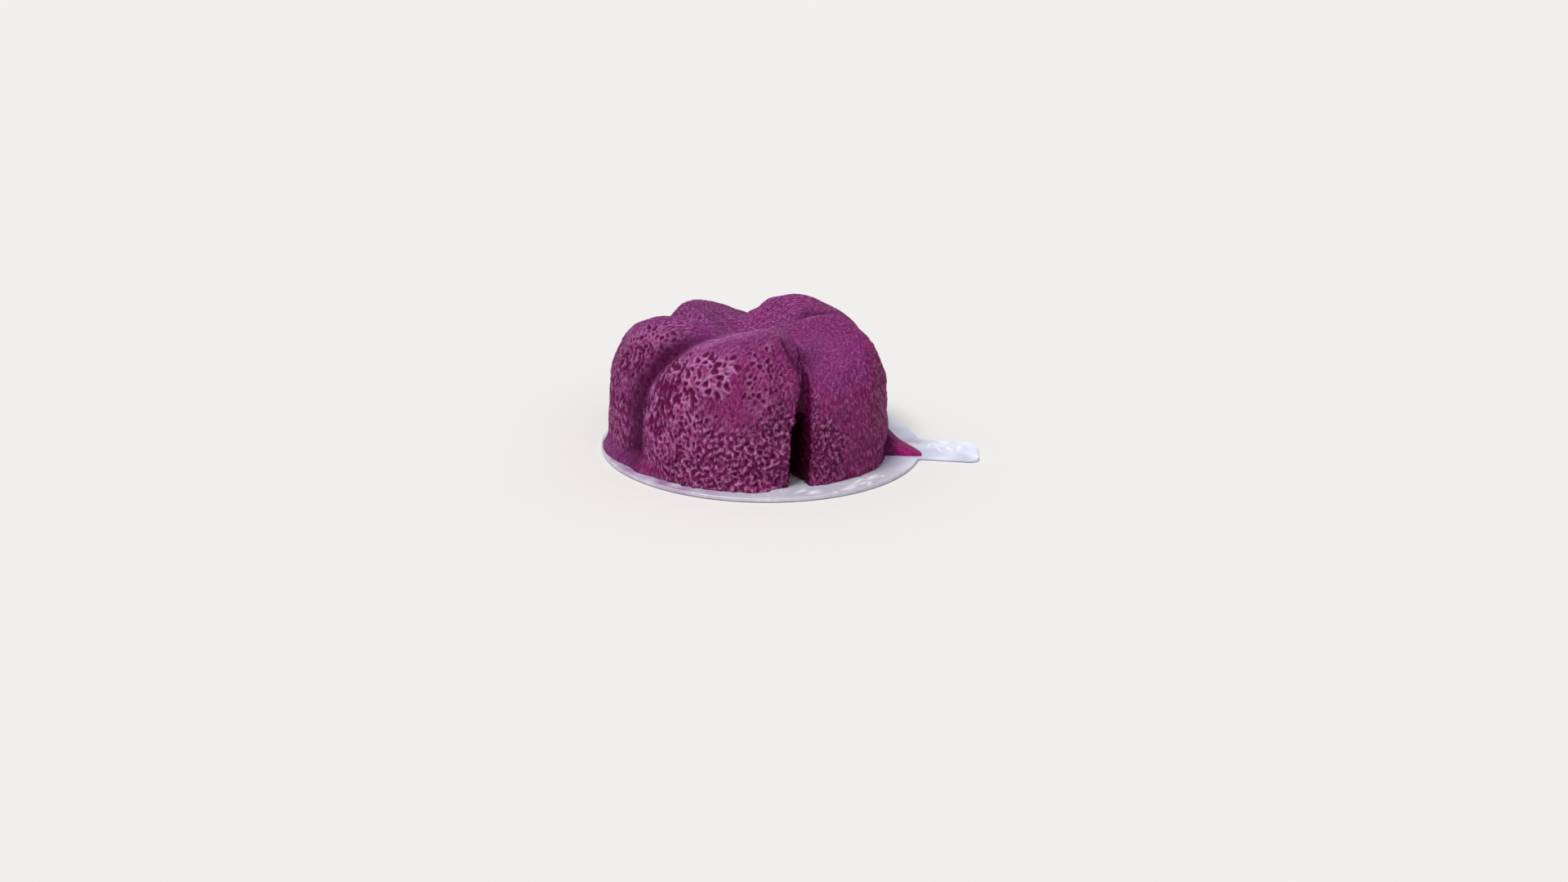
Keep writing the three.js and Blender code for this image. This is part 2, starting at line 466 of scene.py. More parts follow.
def span(places, name):
    start, end, soft = spans[name]
    off = np.abs(turned(places["azimuth"] - (start + end) / 2)) - (end - start) / 2
    return smooth(0.5 - (off + 2 * places["wobble"]) / soft)


def oval(places, name):
    return patch(places, *ovals[name])


def crumbZones(places):
    wall = smooth((0.8 - places["facingUp"]) / 0.45) * (1 - places["inside"])
    sides = {name: span(places, name) for name in ("front", "left", "right", "rear")}
    front, left, right, rear = sides.values()
    low = smooth((17 - places["height"] - 2.5 * places["wobble"]) / 8)
    soft = oval(places, "frontSoft")
    coral = front * oval(places, "frontCoral") + oval(places, "crackCoral") + 0.25 * front * (1 - soft)
    coral += rear * (0.35 + 0.45 * low * span(places, "rearLeft")) + 0.12 * left + 0.1 * right
    streaks = left * 0.95 + front * oval(places, "frontStreaks")
    streaks = streaks + right * (0.25 + 0.5 * span(places, "rightStreaks")) + rear * 0.5
    return {
        "wall": wall,
        "skin": smooth((places["facingUp"] - 0.5) / 0.4) * (1 - places["inside"]),
        "coral": np.clip(coral, 0, 1) * wall,
        "streaks": np.clip(streaks, 0, 1) * wall,
        "soft": soft,
        "violet": oval(places, "violet"),
        "low": low,
        **sides,
    }


def crackLip(places):  # 1 just right of the crack, where the torn crumb is paler and bumpy
    raised = np.clip(places["height"] / crack["top"], 0, 1)
    middle = crack["azimuth"] + crack["wander"] * raised ** 4
    half = crack["halfWidth"] * (1 - raised ** 3.4)
    off = (places["azimuth"] - middle) * degree * places["distance"] - half
    beside = smooth((1.5 - np.abs(off - 0.5)) / 1.2)
    return beside * smooth((24 - places["height"]) / 5) * (1 - places["inside"])


def furrowLines(places):  # 1 along the bottom of the five furrows
    sharp = 1 - hump(lobePhase(places["azimuth"] * degree - swirlAt(places["distance"])), 0.45)
    return np.clip(sharp / 0.73, 0, 1) ** 2.4 * smooth((places["distance"] - 16) / 10)


lobeWidth = 360 / cakeForm["lobes"]
leftFurrow = cakeForm["firstLobe"] - lobeWidth / 2
rightFurrow = leftFurrow + lobeWidth  # the one that the crack runs down
rightLobe = rightFurrow + lobeWidth / 2
rearFurrow = rightFurrow + lobeWidth
skirtStart = cakeFeet[1]["from"] - cakeFeet[1]["fade"]

# Folds lie on the cake's form and turn with its swirl. Azimuth is where each would meet the wall, and slope
# is 0 in the top's middle and 90 at the foot. Both go from the fold's start to its end.
# Each fold is pressed in and painted dark along its crease as painted shade, with a wider band of painted
# shade beside it.
folds = [
    dict(azimuth=(rightFurrow - 17, rightFurrow), slope=(36, 44), width=0.5, depth=0.7,
         dark=1.0, shadeTurn=0, shadeWidth=0.9, fading=(3, 0)),
    dict(azimuth=(rightFurrow - 5, rightFurrow), slope=(32, 44), width=0.5, depth=0.7,
         dark=1.0, shadeTurn=0, shadeWidth=0.9, fading=(3, 0)),
    dict(azimuth=(leftFurrow, leftFurrow), slope=(90, 22), width=1.2, depth=1.2,
         dark=0.95, shadeTurn=2, shadeWidth=2.6, fading=(1, 3)),
    dict(azimuth=(skirtStart - 1, skirtStart + 2.5), slope=(90, 76), width=0.8, depth=0.6,
         dark=1.0, shadeTurn=0, shadeWidth=1.6, fading=(0, 3)),
    dict(azimuth=(rearFurrow + 10, rearFurrow + 6), slope=(47, 14), width=1.3, depth=0.5,
         dark=0.35, shadeTurn=0, shadeWidth=2.2, fading=(2, 4)),
]

# Painted highlights, paler bands of sheen along the crests, placed in the same way.
highlightBands = [
    dict(azimuth=(leftFurrow + 2, leftFurrow + 26), slope=(50, 36), width=1.4, paleness=0.5),
    dict(azimuth=(leftFurrow + 17, rightFurrow - 12), slope=(38, 34), width=1.7, paleness=0.35),
    dict(azimuth=(leftFurrow + 6, rightFurrow - 29), slope=(36, 33), width=0.5, paleness=1.0),
    dict(azimuth=(rightLobe + 20, rightLobe + 9), slope=(34, 20), width=1.0, paleness=0.5),
]

foldSteps = 9


def pathOnForm(azimuths, slopes):
    path = []
    for azimuth, slope in zip(np.linspace(*azimuths, foldSteps + 1), np.linspace(*slopes, foldSteps + 1)):
        across, up, scale = profile(slope * degree)
        swirled = azimuth + cakeForm["swirl"] * (1 - across * scale)
        distance = wallAt(swirled * degree) * across * scale
        height = topAt(swirled * degree, distance) * up * scale
        path.append((swirled, distance + footAt(swirled * degree, height), height))
    return path


def placeIn(azimuth, distance, height):
    return np.array([distance * math.sin(azimuth * degree), -distance * math.cos(azimuth * degree), height])


def alongPath(points, path, width, fading=(0, 0)):
    # 1 on the path, falling away to either side, and towards the ends over so many of its steps
    near = np.zeros(len(points))
    corners = [placeIn(*corner) for corner in path]
    last = len(path) - 1
    for step, (start, end) in enumerate(zip(corners[:-1], corners[1:])):
        along = np.clip((points - start) @ (end - start) / np.sum((end - start) ** 2), 0, 1)
        off = np.linalg.norm(points - start - along[:, None] * (end - start), axis=1)
        strength = smooth((step + along + 0.01) / (fading[0] + 0.01))
        strength *= smooth((last - step - along + 0.01) / (fading[1] + 0.01))
        near = np.maximum(near, strength * np.exp(-(off / width) ** 2))
    return near


def shapeCrumb(mesh, uncut):
    points, normals = vectorsOf(mesh.vertices, "co"), vectorsOf(mesh.vertex_normals, "vector")
    places = placesOn(points, normals, uncut)
    zones = crumbZones(places)
    outside = 1 - places["inside"]

    tree = KDTree(len(points))
    for index, point in enumerate(points):
        tree.insert(Vector(point), index)
    tree.balance()

    sink, rim, web = np.zeros((3, len(points)))
    for number, settings in enumerate(pitPatches):
        sunk, raised, webbed = pitsIn(places, points, normals, tree, settings, 200 + number)
        sink = np.maximum(sink, sunk)
        rim = np.maximum(rim, raised)
        web = np.maximum(web, webbed)
    print("pits done")

    quiet = (1 - 0.9 * smooth((web - 0.4) / 0.35)) * (1 - 0.75 * zones["soft"] * zones["front"])
    quiet *= 1 - 0.6 * oval(places, "frontCrest")
    filmFoot = span(places, "leftFilm") + span(places, "rightFilm")  # a thin film over the board
    film = filmFoot * smooth((4.5 - places["height"]) / 3)
    quiet *= 1 - 0.7 * film
    coral = np.maximum(zones["coral"] * quiet, 0.8 * crackLip(places))
    streaks = zones["streaks"] * quiet
    wall = zones["wall"]
    coralField = wallWaves(places, crumb["coralPitch"], 32, 1.2, crumb["streakLean"], 0.4)
    coralField = 0.85 * coralField + 0.4 * wallWaves(places, crumb["coralFinePitch"], 41, 1.2, 0.1, 0.4)
    streakField = wallWaves(places, crumb["streakPitch"], 33, crumb["streakLength"], crumb["streakLean"], 0.5)
    grainField = wallWaves(places, crumb["wallGrainPitch"], 35, 2.2, 0.15, 0.5)
    topGrain = waves(points, crumb["grainPitch"], 34)
    grainField = mixed(topGrain, grainField, smooth((places["distance"] - 14) / 6))
    coarse, fine = crumb["crackPitches"]
    crackField = waves(points, coarse, 36) + 0.5 * waves(points, fine, 37)
    folded, foldCreaseShade, foldShade = np.zeros((3, len(points)))
    for fold in folds:
        path = pathOnForm(fold["azimuth"], fold["slope"])
        near = alongPath(points, path, fold["width"], fold["fading"])
        folded = np.maximum(folded, fold["depth"] * near)
        foldCreaseShade = np.maximum(foldCreaseShade, fold["dark"] * near)
        beside = [(azimuth - fold["shadeTurn"], distance, height) for azimuth, distance, height in path]
        foldShade = np.maximum(foldShade, alongPath(points, beside, fold["shadeWidth"], fold["fading"]))
    furrows = furrowLines(places) * outside

    calmFoot = mixed(0.35, 1, smooth(places["height"] / 3.5))
    coralShape = np.tanh(1.3 * coralField)
    streakShape = np.tanh(1.4 * streakField)
    grainShape = np.tanh(1.4 * grainField)
    coarse, fine = crumb["bulgePitches"]
    lift = crumb["bulges"] * (waves(points, coarse, 38) + 0.5 * waves(points, fine, 39)) * outside
    lift += crumb["coral"] * coral * coralShape * calmFoot
    lift += crumb["streaks"] * streaks * streakShape * (1 - 0.5 * coral)
    lift += crumb["grain"] * grainShape * outside
    lift += crumb["rim"] * rim * (1 - sink)
    lift -= sink
    lift -= folded * outside
    lift -= crumb["furrow"] * furrows
    lift = np.where(lift < 0, lift * mixed(1, smooth(places["height"] / 4), filmFoot), lift)
    lift += crumb["crackRough"] * crackField * places["inside"]
    lift *= 1 - places["under"]

    moved = points + normals * lift[:, None]
    ragged = crumb["raggedFoot"] * waves(points, crumb["footPitch"], 40)
    ragged = ragged * smooth((2.2 - places["height"]) / 2) * ((1 - places["under"]) * (1 - filmFoot))
    flat = normals.copy()
    flat[:, 2] = 0
    moved += flat * ragged[:, None]
    moved[:, 2] = np.maximum(moved[:, 2], 0)
    movePoints(mesh, moved)

    torn = np.clip(coral + streaks, 0, 1)
    plain = 1 - torn
    streaky = np.clip(streaks + 0.2 * wall * quiet, 0, 1)
    # Pits, valleys, grain hollows and folds are painted dark: darker crumb there, and painted shade in the
    # recesses
    hollowCrumbAndShade = np.maximum(smooth(sink / 0.4), coral * smooth((-coralShape - 0.1) / 0.6) * 0.8)
    hollowCrumbAndShade = np.maximum(hollowCrumbAndShade, streaky * smooth((-streakShape - 0.2) / 0.6) * 0.85)
    grainSeen = quiet * (1 - 0.65 * zones["right"] * smooth((0.9 - places["facingUp"]) / 0.3))
    grainSeen = grainSeen * (1 - 0.5 * zones["violet"])
    hollowCrumbAndShade = np.maximum(hollowCrumbAndShade, (0.28 + 0.42 * plain) * grainSeen * smooth((-grainShape - 0.2) / 0.7))
    hollowCrumbAndShade = np.maximum(hollowCrumbAndShade, foldCreaseShade)
    shade = 1.2 * furrows * (1 - 0.6 * wall) + foldShade + 0.35 * film + 0.12 * wall * zones["right"]
    shade = np.clip(shade, 0, 1)
    patchy = 0.6 + 0.35 * waves(points, crumb["patchPitch"], 42)
    # Paler crumb on webs and ridge tops, with painted highlights on them and along the crests
    paleCrumbAndHighlight = web * np.clip(patchy - 0.5 + 1.0 * smooth((rim - 0.1) / 0.35), 0, 1)
    coralTops = coral * smooth((coralShape - 0.1) / 0.6)
    paleCrumbAndHighlight = np.maximum(paleCrumbAndHighlight, coralTops * np.clip(patchy + 0.4, 0, 1))
    streakTops = streaks * smooth((streakShape - 0.25) / 0.6)
    paleCrumbAndHighlight = np.maximum(paleCrumbAndHighlight, streakTops * np.clip(patchy + 0.2, 0, 1))
    paleCrumbAndHighlight = np.maximum(paleCrumbAndHighlight, (0.22 + 0.22 * plain) * grainSeen * smooth((grainShape - 0.2) / 0.7))
    flap = span(places, "flap") * smooth((places["distance"] - cakeForm["wallRadius"] - 1.6) / 2)
    for band in highlightBands:
        path = pathOnForm(band["azimuth"], band["slope"])
        paleCrumbAndHighlight = np.maximum(paleCrumbAndHighlight, band["paleness"] * alongPath(points, path, band["width"], (1, 1)))
    paleCrumbAndHighlight = paleCrumbAndHighlight * (1 - hollowCrumbAndShade) * (1 - 0.6 * shade) * (1 - 0.3 * zones["left"] - 0.25 * zones["right"])
    paleCrumbAndHighlight *= (1 - 0.6 * span(places, "rightDark")) * (1 - 0.25 * zones["rear"] * zones["skin"])
    grainy = (0.5 + 0.5 * torn) * mixed(0.55, 1, quiet)
    warm = 0.35 + 0.25 * span(places, "rearWarmth")
    warm = warm + 0.65 * zones["right"] * span(places, "rightWarmth") + 0.3 * zones["low"]
    warm = warm - 0.3 * span(places, "leftCool") + 0.08 * places["wobble"]
    paint(mesh, "hollowCrumbAndShade", hollowCrumbAndShade * outside)
    paint(mesh, "paleCrumbAndHighlight", paleCrumbAndHighlight * outside)
    paint(mesh, "skin", np.maximum(zones["skin"], np.maximum(zones["violet"], film * zones["left"])))
    paint(mesh, "warm", warm)
    paint(mesh, "inside", places["deep"])
    paint(mesh, "grainy", grainy * outside)
    paint(mesh, "shade", shade * outside)
    paint(mesh, "flap", flap)
    return points, normals, places


# The flat map that the cake's colours can be stored on.
flatMap = {"side": 148.0, "gap": 1.5}  # millimetres


def unwrapCake(mesh, points, normals, places):
    corners = countsOf(mesh.loops, "vertex_index")
    counts = countsOf(mesh.polygons, "loop_total")
    owner = np.repeat(np.arange(len(counts)), counts)

    def perFace(values):
        return np.bincount(owner, values[corners], len(counts)) / counts

    azimuth = places["azimuth"][corners].copy()
    faceAzimuth = azimuthOf(perFace(points[:, 0]), perFace(points[:, 1]))
    azimuth += 360 * np.round((faceAzimuth[owner] - azimuth) / 360)
    up, height = perFace(normals[:, 2]), perFace(points[:, 2])
    inside = perFace(places["inside"]) > 0.5
    under = (up < -0.6) & ~inside
    top = (up > 0.6) & (height > 14) & ~inside
    wall = ~(inside | under | top)

    x, y, z = (points[corners, axis] for axis in range(3))
    reach = np.hypot(x, y)
    gap = flatMap["gap"]
    radius = cakeForm["wallRadius"] - 1
    stripWidth, stripHeight = math.pi * radius, 42
    flat = np.zeros((len(corners), 2))
    rise = z - 0.8 * np.maximum(0, reach - cakeForm["wallRadius"] - 1) + 9
    for half, low, shift in ((faceAzimuth < 0, 0.0, 180), (faceAzimuth >= 0, stripHeight + gap, 0)):
        chosen = (wall & half)[owner]
        flat[chosen, 0] = (azimuth[chosen] + shift) * degree * radius + gap
        flat[chosen, 1] = rise[chosen] + low + gap
    topLow = 2 * (stripHeight + gap) + gap
    chosen = top[owner]
    flat[chosen] = np.stack([x[chosen] + 33, y[chosen] * 0.9 + 29 + topLow], axis=1)
    chosen = under[owner]
    flat[chosen] = np.stack([x[chosen] * 0.45 + 90, y[chosen] * 0.45 + 18 + topLow], axis=1)
    middle = crack["azimuth"] * degree
    offset = x * math.cos(middle) + y * math.sin(middle)
    leftWall = inside & (np.bincount(owner, offset, len(counts)) / counts < 0)
    for side, low in ((leftWall, 0.0), (inside & ~leftWall, 24)):
        chosen = side[owner]
        flat[chosen] = np.stack([z[chosen] + stripWidth + 3 * gap, reach[chosen] - 15 + low + gap], axis=1)
    layer = mesh.uv_layers.new(name="OFBake")
    layer.data.foreach_set("uv", (flat / flatMap["side"]).astype(np.float32).ravel())


def makeCake():
    outside = cakeOutside()
    uncut = newObject("uncutCake", outside)
    uncutTree = BVHTree.FromPolygons(
        [vertex.co for vertex in outside.vertices], [tuple(face.vertices) for face in outside.polygons])
    cutter = newObject("crackCutter", crackCutter())
    cut = uncut.modifiers.new("crack", "BOOLEAN")
    cut.operation = "DIFFERENCE"
    cut.solver = "EXACT"
    cut.object = cutter
    remesh = uncut.modifiers.new("even", "REMESH")
    remesh.mode = "VOXEL"
    remesh.voxel_size = crumb["voxel"]
    remesh.use_smooth_shade = True
    mesh = applyModifiers(uncut)
    bpy.data.objects.remove(cutter)
    print("cake meshed:", len(mesh.polygons), "faces")

    points, normals, places = shapeCrumb(mesh, uncutTree)
    unwrapCake(mesh, points, normals, places)
    standOnBoard(mesh, points)
    mesh.name = uncut.name = "moulded_cake"
    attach(uncut, "root")
    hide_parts("cake")
    return uncut


def standOnBoard(mesh, smoothPoints):
    # The smooth form's box is centred over the CAD cake's, and its foot stands on the board.
    middle = (smoothPoints.min(axis=0) + smoothPoints.max(axis=0)) / 2
    shift = (cakeLow + cakeHigh) / 2 - middle
    mesh.transform(Matrix.Translation((shift[0], shift[1], boardTop)))
    mesh.transform(Matrix.Scale(millimetre, 4))
    mesh.update()


cake = makeCake()
print("crumb shaped")


# The board is a card disc with a pull tab, under a silver film.
board = {
    "radius": 40,
    "tabHalfWidth": 6.3,
    "tabCorner": 2.4,
    "tabRoot": 1.8,
    "edgeRound": 0.16,
    "rings": 92,
    "columns": 520,
    "tabColumns": 150,  # extra ones, where the outline turns sharply
    "ripple": 0.05,
    "tabRipple": 0.09,
    "wrinkleDepth": 0.05,
    "wrinkleWidth": 0.32,
    "edgeTurns": (25, 50, 70, 90),  # degrees round the film's edge
    "edgeShares": (0.65, 0.35),  # of the thickness, down the side
    "underShares": (0.8, 0.55, 0.3, 0.1),  # of the way out, on the underside
    "wrinkles": [  # how many, between which azimuths and distances, how long
        dict(count=16, azimuth=(16, 58), distance=(36.2, 39.3), length=(1.5, 5)),
        dict(count=7, azimuth=(84, 96), distance=(42, 52), length=(2, 5)),
    ],
    "smears": [
        dict(azimuth=-36, half=36, fade=14, strength=1),
        dict(azimuth=96, half=8, fade=8, strength=0.6),
    ],
    "smearReach": 41,
    # the film over the front of the disc is painted greyer than on the tab and the back
    "greyerFront": dict(azimuth=-6, half=84, fade=14, strength=1),
    "greyerFrontReach": 42,
}


def arc(centre, radius, start, end, steps):
    angles = np.linspace(start, end, steps)
    return np.stack([centre[0] + radius * np.cos(angles), centre[1] + radius * np.sin(angles)], axis=1)


def halfTab():  # the outline's upper half from the tab's end to where the disc begins
    radius, half = board["radius"], board["tabHalfWidth"]
    corner, root = board["tabCorner"], board["tabRoot"]
    filletY = half + root
    filletX = math.sqrt((radius + root) ** 2 - filletY ** 2)
    meeting = math.atan2(filletY, filletX)
    tabEnd = boardHigh[0]
    steps = board["tabColumns"] // 5
    end = [[tabEnd, y] for y in np.linspace(0, half - corner, steps)]
    turn = arc((tabEnd - corner, half - corner), corner, 0, math.pi / 2, steps)
    edge = [[x, half] for x in np.linspace(tabEnd - corner, filletX, steps)]
    fillet = arc((filletX, filletY), root, -math.pi / 2, meeting - math.pi, steps // 2)
    return np.concatenate([end, turn[1:], edge[1:], fillet[1:]]), meeting


def boardRim():
    tab, meeting = halfTab()
    disc = arc((0, 0), board["radius"], meeting, 2 * math.pi - meeting, board["columns"])
    below = tab[::-1] * [1, -1]
    return np.concatenate([tab, disc[1:], below[1:-1]])


def wrinkleLines(points):  # 1 on the short creases pressed into the film
    dice = np.random.default_rng(64)
    pressed = np.zeros(len(points))
    for bunch in board["wrinkles"]:
        for _ in range(bunch["count"]):
            azimuth, distance = dice.uniform(*bunch["azimuth"]), dice.uniform(*bunch["distance"])
            half = dice.uniform(*bunch["length"]) / 2
            heading = (azimuth + dice.normal(8, 16)) * degree
            step = half * np.array([math.cos(heading), math.sin(heading)])
            middle = placeIn(azimuth, distance, 0)[:2]
            along = np.clip((points[:, :2] - middle) @ step / half ** 2, -1, 1)
            off = np.linalg.norm(points[:, :2] - middle - along[:, None] * step, axis=1)
            pressed = np.maximum(pressed, (1 - along ** 2) * np.exp(-(off / board["wrinkleWidth"]) ** 2))
    return pressed


def stained(azimuth, area):
    return area["strength"] * smooth((area["half"] - np.abs(azimuth - area["azimuth"])) / area["fade"])


def makeBoard():
    rim = boardRim()
    columns = len(rim)
    inward = -rim / np.linalg.norm(rim, axis=1)[:, None]
    thick = boardHigh[2] - boardLow[2]
    bend = board["edgeRound"]
    # share of the rim's reach, inset and height, from the top's middle round the edge to the underside
    loops = []
    for ring in range(1, board["rings"] + 1):
        loops.append((ring / board["rings"], bend, thick))
    for turn in board["edgeTurns"]:
        down = thick - bend * (1 - math.cos(turn * degree))
        loops.append((1, bend * (1 - math.sin(turn * degree)), down))
    for share in board["edgeShares"]:
        loops.append((1, 0, thick * share))
    covered = len(loops)  # the film ends here and bare card shows below, painted dark as shade under the rim
    loops.append((1, 0, bend / 2))
    loops.append((1, bend / 2, 0))
    loops += [(share, bend / 2, 0) for share in board["underShares"]]
    points = [[0, 0, thick]]
    for share, inset, height in loops:
        level = (rim + inward * inset) * share
        points += [[x, y, height] for x, y in level]
    points.append([0, 0, 0])
    points = np.array(points)
    order = np.arange(len(points))
    azimuth = azimuthOf(points[:, 0], points[:, 1])
    reach = np.hypot(points[:, 0], points[:, 1])

    onTop = order <= board["rings"] * columns
    fade = smooth((board["radius"] - 1 - reach) / 3)
    tabPart = smooth((points[:, 0] - board["radius"]) / 4) * smooth((boardHigh[0] - 1 - points[:, 0]) / 2)
    ripple = board["ripple"] * waves(points[:, :2], 14, 61) * fade
    ripple += board["tabRipple"] * (waves(points[:, :2], 5, 62, (0.8, 2.0)) - 1.2) * tabPart
    wrinkled = wrinkleLines(points)
    points[onTop, 2] += np.minimum(ripple - 0.04 * fade, 0)[onTop] - board["wrinkleDepth"] * wrinkled[onTop]

    faces = closedFaces(len(loops), columns)
    mesh = newMesh("silver_board", points + [0, 0, boardLow[2]], faces, millimetre)
    mesh.shade_smooth()
    smeared = sum(stained(azimuth, smear) for smear in board["smears"])
    smearPatches = np.clip(0.75 + 0.35 * waves(points[:, :2], 6, 63), 0, 1)
    paint(mesh, "smeared", smeared * smooth((board["smearReach"] - reach) / 2) * smearPatches)
    paint(mesh, "wrinkled", wrinkled)
    paint(mesh, "greyerFront", stained(azimuth, board["greyerFront"]) * smooth((board["greyerFrontReach"] - reach) / 2))
    paint(mesh, "shadedBareEdge", order > covered * columns)
    piece = newObject("silver_board", mesh)
    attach(piece, "root")
    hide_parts("cake_board")
    return piece


silverBoard = makeBoard()
print("board made")


def feed(tree, socket, value):  # links another socket to it, or sets its own value
    if isinstance(value, bpy.types.NodeSocket):
        tree.links.new(value, socket)
    elif socket.type == "RGBA" and len(value) == 3:
        socket.default_value = (*value, 1)
    else:
        socket.default_value = value


def addNode(tree, kind, settings=None, **inputs):
    node = tree.nodes.new(kind)
    for name, value in (settings or {}).items():
        setattr(node, name, value)
    for name, value in inputs.items():
        feed(tree, node.inputs[name.replace("_", " ")], value)
    return node


def newGroup(name, settings, outputs):  # takes a place and these settings
    group = bpy.data.node_groups.new(name, "ShaderNodeTree")
    group.interface.new_socket("Place", in_out="INPUT", socket_type="NodeSocketVector")
    for label, value in settings.items():
        socket = group.interface.new_socket(label, in_out="INPUT", socket_type="NodeSocketFloat")
        socket.default_value = value
    for label in outputs:
        group.interface.new_socket(label, in_out="OUTPUT", socket_type="NodeSocketFloat")
    return group, group.nodes.new("NodeGroupInput"), group.nodes.new("NodeGroupOutput")


def mapRange(tree, value, low, high, newLow=0.0, newHigh=1.0):
    node = addNode(tree, "ShaderNodeMapRange", {"interpolation_type": "SMOOTHSTEP"}, Value=value,
                   From_Min=low, From_Max=high, To_Min=newLow, To_Max=newHigh)
    return node.outputs["Result"]


def mathNode(tree, operation, first, second):
    node = tree.nodes.new("ShaderNodeMath")
    node.operation = operation
    for socket, value in zip(node.inputs, (first, second)):
        feed(tree, socket, value)
    return node.outputs[0]


def product(tree, first, second):
    return mathNode(tree, "MULTIPLY", first, second)


def mixColour(tree, share, first, second, blend="MIX"):
    node = tree.nodes.new("ShaderNodeMix")
    node.data_type = "RGBA"
    node.blend_type = blend
    for number, value in ((0, share), (6, first), (7, second)):
        feed(tree, node.inputs[number], value)
    return node.outputs[2]


def speckGroup():
    # Soft blotches and fine specks over a surface, both centred on 0.5.
    group, start, end = newGroup(
        "blotchAndSpeck", {"Blotch Size": 0.01, "Speck Size": 0.001}, ["Blotch", "Speck"])
    for label, detail in (("Blotch", 2.0), ("Speck", 3.0)):
        scale = mathNode(group, "DIVIDE", 1.0, start.outputs[label + " Size"])
        place = start.outputs["Place"]
        noise = addNode(group, "ShaderNodeTexNoise", Vector=place, Scale=scale, Detail=detail)
        group.links.new(noise.outputs[0], end.inputs[label])
    return group


def grainGroup():
    # A fine open grain, drawn out along Z: dark dots, pale ridges, and the height that goes with them.
    group, start, end = newGroup(
        "fineGrain", {"Grain Size": 0.0006, "Drawn Out": 0.5}, ["Dots", "Ridges", "Height"])
    scale = mathNode(group, "DIVIDE", 1.0, start.outputs["Grain Size"])
    squash = addNode(group, "ShaderNodeCombineXYZ", X=1.0, Y=1.0, Z=start.outputs["Drawn Out"]).outputs[0]
    drawn = addNode(group, "ShaderNodeVectorMath", {"operation": "MULTIPLY"})
    group.links.new(start.outputs["Place"], drawn.inputs[0])
    group.links.new(squash, drawn.inputs[1])
    place = drawn.outputs[0]
    noise = addNode(group, "ShaderNodeTexNoise", Vector=place, Scale=scale, Detail=2.0, Roughness=0.6)
    group.links.new(mapRange(group, noise.outputs[0], 0.33, 0.5, 1, 0), end.inputs["Dots"])
    group.links.new(mapRange(group, noise.outputs[0], 0.5, 0.66), end.inputs["Ridges"])
    group.links.new(noise.outputs[0], end.inputs["Height"])
    return group


specks = speckGroup()
fineGrain = grainGroup()


def startMaterial(name):
    material = bpy.data.materials.new(name)
    material.use_nodes = True
    return material, material.node_tree, material.node_tree.nodes["Principled BSDF"]


def placeOn(tree):
    return tree.nodes.new("ShaderNodeTexCoord").outputs["Object"]


def addMarks(tree, place, look):
    marks = addNode(tree, "ShaderNodeGroup", {"node_tree": specks}, Place=place,
                    Blotch_Size=look["blotchSize"], Speck_Size=look["speckSize"])
    return marks.outputs["Blotch"], marks.outputs["Speck"]


def painted(tree, name):
    return addNode(tree, "ShaderNodeAttribute", {"attribute_name": name}).outputs["Fac"]


crumbLook = {
    "plum": (0.165, 0.010, 0.096),
    "magenta": (0.172, 0.005, 0.086),
    "violetSkin": (0.142, 0.014, 0.118),
    "palePink": (0.500, 0.165, 0.345),
    "paleLilac": (0.410, 0.200, 0.405),
    # darkest crumb, used for the grain's dots and for the painted shade in hollows
    "deep": (0.085, 0.000, 0.036),
    "flap": (0.600, 0.012, 0.260),
    "shadedCrackUpper": (0.058, 0.001, 0.029),
    "shadedCrackLower": (0.030, 0.000, 0.008),
    "blotchSize": 0.009,
    "speckSize": 0.0011,
    "grainSize": 0.00048,
    "drawnOut": 0.5,
    "dots": 0.8,
    "ridges": 0.5,
    "shade": 0.6,
    "shadow": (0.040, 0.001, 0.028),
    "bump": 0.6,
    "skinShare": 0.75,
    "hollowCrumbAndShadeShare": 0.95,
    "specular": 0.12,
}


